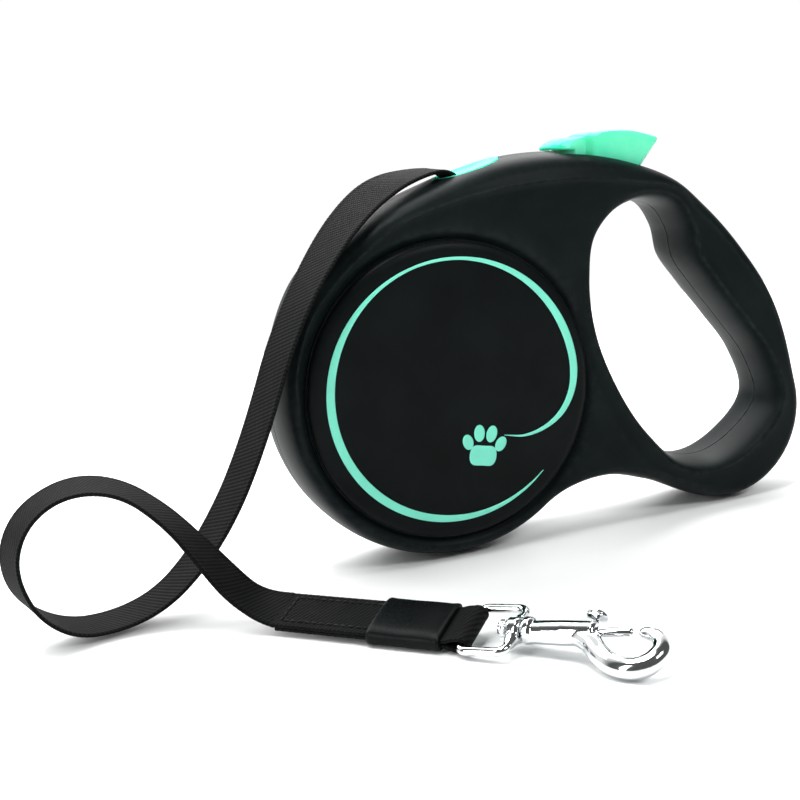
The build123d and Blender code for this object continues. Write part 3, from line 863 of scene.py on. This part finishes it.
GUIDE_LOW, GUIDE_HIGH = (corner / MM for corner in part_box("outlet_guide"))
GUIDE_TILT = math.radians(13.0)
GUIDE_ALONG = Vector((math.cos(GUIDE_TILT), 0, math.sin(GUIDE_TILT)))
GUIDE_OUT = Vector((-math.sin(GUIDE_TILT), 0, math.cos(GUIDE_TILT)))
GUIDE_CENTRE = Vector(((GUIDE_LOW.x + GUIDE_HIGH.x) / 2 - 0.5, 0, 120.9))
GUIDE_LONG, GUIDE_WIDE = 11.3, 9.5


def on_guide(along, across, out):
    return GUIDE_CENTRE + GUIDE_ALONG * along + Vector((0, across, 0)) + GUIDE_OUT * out


def oval_row(scale, grow, height, sides=96):
    """A ring of the guide's oval; it follows the case's crown from side to side."""
    row = []
    for step in range(sides):
        turn = 2 * math.pi * (step + 0.5) / sides
        c, s = math.cos(turn), math.sin(turn)
        along = math.copysign(abs(c) ** 0.86, c) * (GUIDE_LONG * scale + grow)
        across = math.copysign(abs(s) ** 0.86, s) * (GUIDE_WIDE * scale + grow)
        crown = -0.9 * (across / GUIDE_WIDE) ** 2 - 0.35 * (along / GUIDE_LONG) ** 2
        row.append(on_guide(along, across, height + crown))
    return row


def oval_cutter():
    points, faces = stack([oval_row(1.0, 0.15, -9.0), oval_row(1.0, 0.15, 9.0)])
    return add_object("oval", points, faces, CASE_BLACK)


def make_case():
    front, outline, grip, out_in, grip_in = half_shell()
    loops = [outline + out_in * 3.5, grip + grip_in * 2.3]
    cavity = prism(loops, lambda p: 1.0, lambda p: -min(13.0, float(half_thickness(p[0])) - 3.3))
    cut(front, oval_cutter())
    pad_low, pad_high = (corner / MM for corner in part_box("thumb_pad"))
    lock_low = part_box("lock_slide")[0] / MM
    cut(front, block((lock_low.x + 2.0, -pad_high.y - 0.5, 112.5), (pad_high.x - 3.9, 20, 131)))
    cut(front, cavity)
    front.name = "case_shell_front"
    back = bpy.data.objects.new("case_shell_back", front.data.copy())
    bpy.context.scene.collection.objects.link(back)
    back.data.transform(Matrix.Scale(-1, 4, (0, 1, 0)))
    for x, z in ((4.0, 21.5), (-42.0, 109.6), (55.5, 96.5), (87.2, 34.0), (57.0, 7.6)):
        ring = arc((x, z), 2.75, 0, 360, 40)[:-1]
        cut(back, prism([np.array([tuple(p) for p in ring])], lambda p: 8.8, lambda p: 20.0))
    for obj, node in ((front, "left_shell"), (back, "right_shell")):
        tidy(obj, True, 32)
        own(obj, "case", "case_plastic", node)


make_case()


# Face discs -------------------------------------------------------------------------------------

DISC_PROFILE = [
    (0.0, DISC_FACE), (12, DISC_FACE - 0.01), (26, DISC_FACE - 0.05), (38, DISC_FACE - 0.15),
    (42.5, DISC_FACE - 0.28), (44.2, DISC_FACE - 0.48), (45.3, DISC_FACE - 0.85), (46.0, DISC_FACE - 1.35),
    (46.4, DISC_FACE - 1.95), (DISC_R, DISC_FACE - 2.5), (DISC_R, SEAT_DEPTH + 0.05), (20, SEAT_DEPTH + 0.05),
]


def disc_height(radius):
    radii = [r for r, _ in DISC_PROFILE[:9]]
    heights = [h for _, h in DISC_PROFILE[:9]]
    return float(np.interp(radius, radii, heights))


def face_disc(name, side):
    dense = []
    for (r0, h0), (r1, h1) in zip(DISC_PROFILE, DISC_PROFILE[1:]):
        steps = 6 if abs(r1 - r0) > 8 else 3
        dense += [(r0 + (r1 - r0) * k / steps, h0 + (h1 - h0) * k / steps) for k in range(steps)]
    dense = [(max(r, 0.6), h) for r, h in dense + [DISC_PROFILE[-1]]]
    return lathe(name, dense, lambda a, b, h: (SPOOL_X + a, side * h, SPOOL_Z + b), DISC_BLACK, 220, 40)


own(face_disc("face_disc_front", -1), "case", "disc_plastic", "left_cover_disc")
own(face_disc("face_disc_back", 1), "case", "disc_plastic", "right_cover_disc")


def on_disc(x, z, lift):
    radius = math.hypot(x - SPOOL_X, z - SPOOL_Z)
    return (x, -disc_height(radius) - lift, z)


def printed_line():
    """An open ring, drawn as one brush stroke with thin ends and a tail that curls inwards."""
    centre = (SPOOL_X + 0.8, SPOOL_Z + 0.4)
    radius = 40.6
    places = []
    for angle in range(-48, -360, -6):
        turn = math.radians(angle)
        places.append((centre[0] + radius * math.cos(turn), centre[1] + radius * math.sin(turn)))
    places += [(2.2, 54.6), (1.0, 48.6), (-3.0, 42.2), (-9.6, 38.0), (-16.6, 36.6), (-23.6, 37.8)]
    widths = [
        (0.0, 0.15), (0.03, 0.8), (0.08, 1.5), (0.15, 2.3), (0.25, 2.7), (0.36, 2.7), (0.42, 2.4), (0.47, 1.8),
        (0.52, 1.15), (0.57, 0.85), (0.63, 1.0), (0.69, 1.6), (0.74, 2.2), (0.80, 2.7), (0.86, 2.6), (0.91, 2.0),
        (0.95, 1.2), (1.0, 0.2),
    ]
    line = even(smooth_curve(places), 420, closed=False)
    shares = np.linspace(0, 1, len(line))
    half = np.interp(shares, [s for s, _ in widths], [w for _, w in widths]) / 2
    ahead = np.gradient(line, axis=0)
    ahead /= np.linalg.norm(ahead, axis=1)[:, None]
    rows = []
    for (x, z), (ax, az), wide in zip(line, ahead, half):
        row = []
        for place, lift in ((-1, 0.0), (-0.92, 0.07), (-0.4, 0.09), (0.4, 0.09), (0.92, 0.07), (1, 0.0)):
            row.append(on_disc(x - az * wide * place, z + ax * wide * place, lift + 0.02))
        rows.append(row)
    points, faces = stack(rows, closed=False, cap=False)
    return add_object("printed_line", points, faces, MINT_INK)


own(printed_line(), "case", "mint_plastic")


def printed_mark():
    """A plain paw print: one pad and four toes."""
    points, faces = [], []
    tilt = math.radians(-12)
    centre = (-31.0, 34.0)
    pads = [(0, -1.6, 4.6, 3.7, 0), (-5.6, 2.4, 1.75, 2.5, 24), (-2.1, 5.4, 1.8, 2.7, 8), (2.1, 5.4, 1.8, 2.7, -8),
            (5.6, 2.4, 1.75, 2.5, -24)]
    for px, pz, wide, tall, lean in pads:
        base = len(points)
        lean = math.radians(lean)
        for size, lift in ((1.0, 0.02), (0.95, 0.09), (0.5, 0.10)):
            for step in range(36):
                turn = 2 * math.pi * step / 36
                a, b = wide * size * math.cos(turn), tall * size * math.sin(turn)
                if wide > 3:
                    b -= 0.9 * size * math.cos(3 * turn + math.pi / 2) * 0.6
                a, b = a * math.cos(lean) - b * math.sin(lean) + px, a * math.sin(lean) + b * math.cos(lean) + pz
                x = centre[0] + a * math.cos(tilt) - b * math.sin(tilt)
                z = centre[1] + a * math.sin(tilt) + b * math.cos(tilt)
                points.append(on_disc(x, z, lift))
        faces += bridge(base, base + 36, 36) + bridge(base + 36, base + 72, 36)
        faces.append(tuple(range(base + 72, base + 108)))
    return add_object("printed_mark", points, faces, MINT_INK)


own(printed_mark(), "case", "mint_plastic")


# Outlet guide -----------------------------------------------------------------------------------

def outlet_guide():
    levels = [
        (1.0, 0, -4.6), (1.0, 0, -0.3), (1.0, 0, 0.25), (0.985, 0, 0.55), (0.955, 0, 0.68), (0.92, 0, 0.58),
        (0.885, 0, 0.30), (0.85, 0, -0.05), (0.78, 0, -0.45), (0.68, 0, -0.82), (0.55, 0, -1.15), (0.40, 0, -1.38),
        (0.25, 0, -1.50), (0.10, 0, -1.55), (0.02, 0, -1.56),
    ]
    points, faces = stack([oval_row(*level) for level in levels])
    obj = add_object("outlet_guide_dished", points, faces, MINT)
    mouth = []
    for height in (-9, 9):
        row = []
        for step in range(32):
            turn = 2 * math.pi * step / 32
            c, s = math.cos(turn), math.sin(turn)
            row.append(on_guide(-4.8 + 2.7 * math.copysign(abs(c) ** 0.5, c),
                                7.85 * math.copysign(abs(s) ** 0.25, s), height))
        mouth.append(row)
    cut(obj, add_object("mouth", *stack(mouth), MINT))
    tidy(obj, True, 40)
    return obj


own(outlet_guide(), "case", "mint_plastic", "outlet_guide")


# Brake button -----------------------------------------------------------------------------------

def button(name, outline, stations, bevel):
    """A skin over a side outline of (x, z, front share, rear share).  Each station across it is
    (y, front inset, rear inset, top drop)."""
    floor = min(z for _, z, _, _ in outline)
    top = max(z for _, z, _, _ in outline)
    rows = []
    for y, front, rear, drop in stations:
        row = []
        for x, z, ahead, behind in outline:
            rise = (z - floor) / (top - floor)
            crown = 0.7 * ahead * (y / stations[0][0]) ** 2
            row.append((x + front * ahead - rear * behind, y, z - drop * rise ** 3 - crown))
        rows.append(row)
    obj = add_object(name, *stack(rows), MINT)
    change = obj.modifiers.new("bevel", "BEVEL")
    change.width = bevel * MM
    change.segments = 3
    change.limit_method = "ANGLE"
    change.angle_limit = math.radians(24)
    bake(obj)
    tidy(obj, True, 40)
    return obj


def both_sides(stations):
    """Stations given from the near edge to the middle, mirrored to the far edge."""
    return stations + [(-y, front, rear, drop) for y, front, rear, drop in reversed(stations[:-1])]


def thumb_pad():
    outline = [
        (17.4, 114.7, 1, 0), (17.4, 121, 1, 0), (17.4, 126.9, 1, 0), (17.9, 127.9, 0.9, 0), (19.6, 128.35, 0.6, 0),
        (23, 128.5, 0.1, 0), (27, 128.5, 0, 0), (31, 128.3, 0, 0), (35, 127.7, 0, 0.1), (39, 126.7, 0, 0.4),
        (42, 125.9, 0, 0.8), (44.4, 125.1, 0, 1), (44.9, 124.3, 0, 1), (44.3, 123.3, 0, 1), (40.7, 119.2, 0, 1),
        (36.8, 114.7, 0, 1),
    ]
    stations = [(-8.75, 4.4, 3.2, 0.75), (-8.6, 3.9, 2.8, 0.35), (-6.3, 0.35, 0.6, 0.05), (-3.2, 0, 0.05, 0), (0, 0, 0, 0.1)]
    return button("thumb_pad_moulded", outline, both_sides(stations), 0.3)


def lock_slide():
    outline = [
        (5.5, 124.3, 1, 0), (5.5, 125.1, 1, 0), (6.8, 125.9, 0.9, 0), (8.6, 126.7, 0.7, 0), (11.0, 127.25, 0.5, 0),
        (14, 127.45, 0.2, 0), (16.8, 127.4, 0, 0), (16.85, 123, 0, 0), (16.85, 119.4, 0, 0), (16.5, 118.1, 0, 0),
        (11.3, 118.1, 0.3, 0), (11.3, 124.2, 0.3, 0),
    ]
    stations = [(-8.75, 6.6, 0, 0.6), (-8.5, 5.6, 0, 0.3), (-6.4, 2.6, 0, 0.05), (-3.2, 0.6, 0, 0), (0, 0, 0, 0.1)]
    return button("lock_slide_moulded", outline, both_sides(stations), 0.25)


own(thumb_pad(), "brake", "mint_plastic", "thumb_pad")
own(lock_slide(), "lock", "mint_plastic", "lock_slide")


# Swivel bow and hook ----------------------------------------------------------------------------

BOW_FACE = BOW_ALONG.cross(ACROSS)
ROLL = math.radians(12.0)
HOOK_ACROSS = ACROSS * math.cos(ROLL) + BOW_FACE * math.sin(ROLL)
HOOK_FACE = BOW_ALONG.cross(HOOK_ACROSS)


def on_bow(along, across=0.0, out=0.0):
    return END + BOW_ALONG * along + ACROSS * across + BOW_FACE * out


def on_hook(along, across=0.0, out=0.0):
    return END + BOW_ALONG * along + HOOK_ACROSS * across + HOOK_FACE * out


def melt(name, parts, voxel, passes, material):
    """Fuse closed skins into one cast shape with soft inner corners."""
    points, faces = [], []
    for part, skin in parts:
        base = len(points)
        points += part
        faces += [tuple(base + index for index in face) for face in skin]
    obj = add_object(name, points, faces, material)
    change = obj.modifiers.new("fuse", "REMESH")
    change.mode = "VOXEL"
    change.voxel_size = voxel * MM
    change.use_smooth_shade = True
    soften = obj.modifiers.new("soften", "SMOOTH")
    soften.factor = 0.5
    soften.iterations = passes
    bake(obj)
    obj.data.materials.clear()
    obj.data.materials.append(material)
    tidy(obj)
    return obj


def rod(place, stations, sides=40):
    """A turned closed skin along a local axis.  Stations are (along, radius)."""
    rows = []
    for along, radius in stations:
        row = []
        for step in range(sides):
            turn = 2 * math.pi * step / sides
            row.append(place(along, radius * math.cos(turn), radius * math.sin(turn)))
        rows.append(row)
    return stack(rows)


def bow():
    half, length, bend = 9.1, 13.2, 2.3
    corners = [(0, -half), (length, -half), (length, half), (0, half)]
    line = []
    for index, (x, y) in enumerate(corners):
        centre = (x + (bend if x == 0 else -bend), y + (bend if y < 0 else -bend))
        start = (180, 270, 0, 90)[index]
        line += [on_bow(*point) for point in arc(centre, bend, start, 90, 8)]
    line = [Vector(point) for point in even(line, 150)]
    count = len(line)
    rows = tube_rows(line + line[:1], [1.22] * (count + 1), 20, BOW_FACE)
    loop = stack(rows[:count], True, False)
    loop[1].extend(
        ((count - 1) * 20 + i, (count - 1) * 20 + (i + 1) % 20, (i + 1) % 20, i) for i in range(20))
    eye = rod(on_bow, [(length - 2.1, 2.4), (length - 2.0, 3.0), (length - 1.4, 3.45), (length + 0.9, 3.5),
                       (length + 1.7, 3.1), (length + 1.9, 2.5)])
    yoke = stack(tube_rows([on_bow(length, y) for y in (-6.4, -4, 0, 4, 6.4)], [1.3, 1.9, 2.3, 1.9, 1.3], 20, BOW_FACE))
    obj = melt("swivel_bow_cast", [loop, eye, yoke], 0.2, 8, CHROME)
    hole = add_object("hole", *rod(on_bow, [(length - 6, 1.9), (length + 6, 1.9)]), CHROME)
    cut(obj, hole)
    tidy(obj, True, 50)
    return obj


own(bow(), "bow", "chrome_metal", "swivel_bow")

COLLAR = 15.5
BOLT_ACROSS = 0.1
KNOB_ALONG = 34.2


def hook():
    """The cast hook: swivel pin, collar, barrel and the curved nose, fused and then bored."""
    pin_rows = []
    for along, radius, ribs in ((8.6, 1.5, 0), (8.75, 2.35, 0.06), (9.2, 2.65, 0.16), (10.6, 2.7, 0.16), (10.9, 2.2, 0.05),
                                (11.0, 1.74, 0), (COLLAR + 1, 1.74, 0)):
        row = []
        for step in range(96):
            turn = 2 * math.pi * step / 96
            wide = radius + ribs * math.cos(14 * turn)
            row.append(on_hook(along, wide * math.cos(turn), wide * math.sin(turn)))
        pin_rows.append(row)
    collar = rod(on_hook, [(COLLAR, 2.5), (COLLAR + 0.15, 3.2), (COLLAR + 0.6, 3.6), (COLLAR + 2.1, 3.6),
                           (COLLAR + 2.7, 3.2), (COLLAR + 3.0, 2.7), (COLLAR + 3.5, 2.7)])

    def on_barrel(along, a, b):
        return on_hook(along, a - 0.5, b)

    barrel = rod(on_barrel, [(COLLAR + 2.4, 2.95), (21, 3.1), (26, 3.25), (34.6, 3.25), (35.2, 2.9), (35.4, 2.4)])
    places = [(25.0, -0.7), (30.0, -1.1), (34.4, -3.6), (37.6, -7.0), (40.8, -9.5), (44.2, -10.8), (47.6, -10.9),
              (51.0, -9.0), (52.6, -5.4), (52.0, -2.8), (50.2, -0.8), (46.4, 0.3)]
    line = [on_hook(*point) for point in even(smooth_curve(places, steps=10), 110, closed=False)]
    shares = np.linspace(0, 1, len(line))
    radii = np.interp(shares, (0, 0.1, 0.22, 0.34, 0.5, 0.66, 0.76, 0.84, 0.93, 0.98, 1.0),
                      (2.5, 2.75, 2.85, 2.7, 2.75, 2.75, 2.55, 2.15, 1.8, 1.5, 1.0))
    curve = stack(tube_rows(line, list(radii), 28, HOOK_FACE))
    web = stack(tube_rows([on_hook(x, y) for x, y in ((29, -0.8), (33, -1.6), (36, -3.6))], [2.7, 2.8, 2.3], 24, HOOK_FACE))
    obj = melt("hook_body_cast", [stack(pin_rows), collar, barrel, curve, web], 0.2, 5, CHROME)

    def on_bolt(along, a, b):
        return on_hook(along, BOLT_ACROSS + a, b)

    cut(obj, add_object("bore", *rod(on_bolt, [(21.0, 1.38), (44.9, 1.38)]), CHROME))
    low, high = KNOB_ALONG - 9.9, KNOB_ALONG + 1.9
    corners = [on_hook(x, y, z) for x in (low, high) for y in (BOLT_ACROSS, 6.5) for z in (-0.86, 0.86)]
    skin = [(0, 1, 3, 2), (4, 6, 7, 5), (0, 4, 5, 1), (2, 3, 7, 6), (0, 2, 6, 4), (1, 5, 7, 3)]
    cut(obj, add_object("slot", corners, skin, CHROME))
    tidy(obj, True, 50)
    return obj


own(hook(), "hook", "chrome_metal", "hook_body")


def on_bolt(along, a, b):
    return on_hook(along, BOLT_ACROSS + a, b)


def bolt():
    points, faces = rod(on_bolt, [(30.2, 0.9), (30.4, 1.15), (30.8, 1.28), (43.6, 1.28), (44.2, 1.1), (44.6, 0.7)], 36)
    return add_object("hook_bolt_turned", points, faces, CHROME, sharp=40)


def knob():
    """The thumb knob: a short stem under a dished head that leans back."""
    def place(out, a, b):
        return on_hook(KNOB_ALONG + a - 0.12 * (out - 3.0), BOLT_ACROSS + out, b)

    points, faces = rod(place, [(0.9, 0.72), (3.6, 0.74), (3.9, 1.4), (4.1, 2.3), (4.35, 2.8), (4.8, 2.95),
                                (5.2, 2.75), (5.45, 2.1), (5.55, 1.2), (5.58, 0.1)], 48)
    return add_object("thumb_knob_turned", points, faces, CHROME, sharp=45)


own(bolt(), "bolt", "chrome_metal", "hook_bolt")
own(knob(), "bolt", "chrome_metal", "thumb_knob")


# Nodes that keep their CAD shape ----------------------------------------------------------------

FINISHES = {
    "case_screws": SCREW_STEEL,
    "axle": BRIGHT,
    "spool_washers": BRIGHT,
    "spool_bush": NYLON,
    "spool_drum": SPOOL_GREY,
    "spool_flange": SPOOL_GREY,
    "spring_lid": SPOOL_GREY,
    "tape_anchor_pin": BRIGHT,
    "clock_spring": SPRING_STEEL,
    "brake_lever": ACETAL,
    "brake_pawl": ACETAL,
    "lever_pivot_pin": BRIGHT,
    "brake_spring": SPRING_STEEL,
    "bolt_spring": SPRING_STEEL,
}
for name, material in FINISHES.items():
    NODES[name].data.materials.clear()
    NODES[name].data.materials.append(material)


def wound_tape():
    """The turns of tape on the spool, as one spiral strip's skin with each turn's edge showing."""
    low, high = (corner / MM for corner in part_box("wound_tape"))
    outer = (high.x - low.x) / 2
    inner = 20.3
    turns = int((outer - inner) / TAPE_THICK)
    sides = 120
    profile = [(inner, -7.3)]
    for turn in range(turns):
        radius = inner + turn * (outer - inner) / turns
        profile += [(radius + 0.15, -7.45), (radius + 0.95, -7.45), (radius + 1.1, -7.25)]
    profile += [(outer, -7.2), (outer, 7.2)]
    for turn in reversed(range(turns)):
        radius = inner + turn * (outer - inner) / turns
        profile += [(radius + 1.1, 7.25), (radius + 0.95, 7.45), (radius + 0.15, 7.45)]
    profile += [(inner, 7.3), (inner, -7.3)]
    rows = [[(SPOOL_X + min(r, outer - 0.02) * math.cos(t), y, SPOOL_Z + min(r, outer - 0.02) * math.sin(t))
             for t in np.linspace(0, 2 * math.pi, sides, endpoint=False)] for r, y in profile]
    points, faces = stack(rows, True, False)

    def uv(face, vertex):
        ring, step = divmod(vertex, sides)
        return profile[ring][0] * 2 * math.pi * step / sides, profile[ring][1] + ring * 0.1

    return add_object("wound_tape_turns", points, faces, TAPE, uv=uv, sharp=60)


own(wound_tape(), "spool", "tape_fabric", "wound_tape")


def inner_run():
    """The tape between the spool and the outlet, drawn straight."""
    low, high = (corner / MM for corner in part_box("tape_inner_run"))
    start = Vector((high.x - 0.6, 0, low.z + 0.6))
    end = Vector((low.x + 0.6, 0, high.z - 0.4))
    if (Vector((low.x, 0, low.z)) - SPOOL).length < (Vector((high.x, 0, low.z)) - SPOOL).length - 60:
        start, end = end, start
    line = [start.lerp(end, share) for share in np.linspace(0, 1, 60)]
    return strip("tape_inner_run_woven", line, [Vector((0, -1, 0))] * len(line), TAPE, 14.9, 1.0)


own(inner_run(), "case", "tape_fabric", "tape_inner_run")


# The cord's facts -------------------------------------------------------------------------------

length = sum((b - a).length for a, b in zip(tape_points, tape_points[1:]))
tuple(TAPE_ROUTE[0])
[point * MM for point in tape_points]


# Studio -----------------------------------------------------------------------------------------

def studio_floor():
    graph = Graph("studio_floor")
    cloud = graph.noise(3.0, 2.0)
    base = graph.mix(cloud, shade(0.90, 0.91, 0.91), shade(0.93, 0.94, 0.94))
    graph.finish(Base_Color=base, Roughness=graph.span(cloud, 0.24, 0.28), Specular_IOR_Level=0.3)
    corners = [(-2500, -2500, 0), (2500, -2500, 0), (2500, 480, 0), (-2500, 480, 0)]
    add_object("studio_floor", corners, [(0, 1, 2, 3)], graph.material)


def area_light(name, place, target, width, height, power, colour=(1, 1, 1)):
    data = bpy.data.lights.new(name, "AREA")
    data.shape = "RECTANGLE"
    data.size, data.size_y = width, height
    data.energy = power
    data.color = colour
    obj = bpy.data.objects.new(name, data)
    obj.location = place
    direction = Vector(target) - Vector(place)
    obj.rotation_euler = direction.to_track_quat("-Z", "Y").to_euler()
    bpy.context.scene.collection.objects.link(obj)


def studio_sky():
    """White behind the object, and dark above and on the viewer's side, for the metal to mirror."""
    world = bpy.data.worlds.new("studio")
    world.use_nodes = True
    tree = world.node_tree
    place = tree.nodes.new("ShaderNodeTexCoord")
    split = tree.nodes.new("ShaderNodeSeparateXYZ")
    tree.links.new(place.outputs["Generated"], split.inputs[0])
    level = tree.nodes.new("ShaderNodeMapRange")
    level.interpolation_type = "SMOOTHSTEP"
    for key, value in (("From Min", 0.15), ("From Max", 0.42), ("To Min", 0.10), ("To Max", 1.03)):
        level.inputs[key].default_value = value
    tree.links.new(split.outputs["Y"], level.inputs["Value"])
    back = tree.nodes["Background"]
    back.inputs["Color"].default_value = (1.0, 1.0, 1.0, 1.0)
    tree.links.new(level.outputs["Result"], back.inputs["Strength"])
    bpy.context.scene.world = world


studio_floor()
studio_sky()
MIDDLE = (-0.03, -0.03, 0.06)
area_light("back_softbox", (-0.10, 0.70, 0.85), MIDDLE, 1.8, 0.7, 24)
area_light("top_softbox", (-0.25, -0.05, 1.1), MIDDLE, 0.5, 0.35, 9)
area_light("left_strip", (-1.0, -0.35, 0.5), MIDDLE, 0.2, 0.9, 5)
area_light("front_fill", (0.45, -1.0, 1.0), MIDDLE, 0.5, 0.25, 8)
bpy.context.scene.view_settings.view_transform = "Standard"
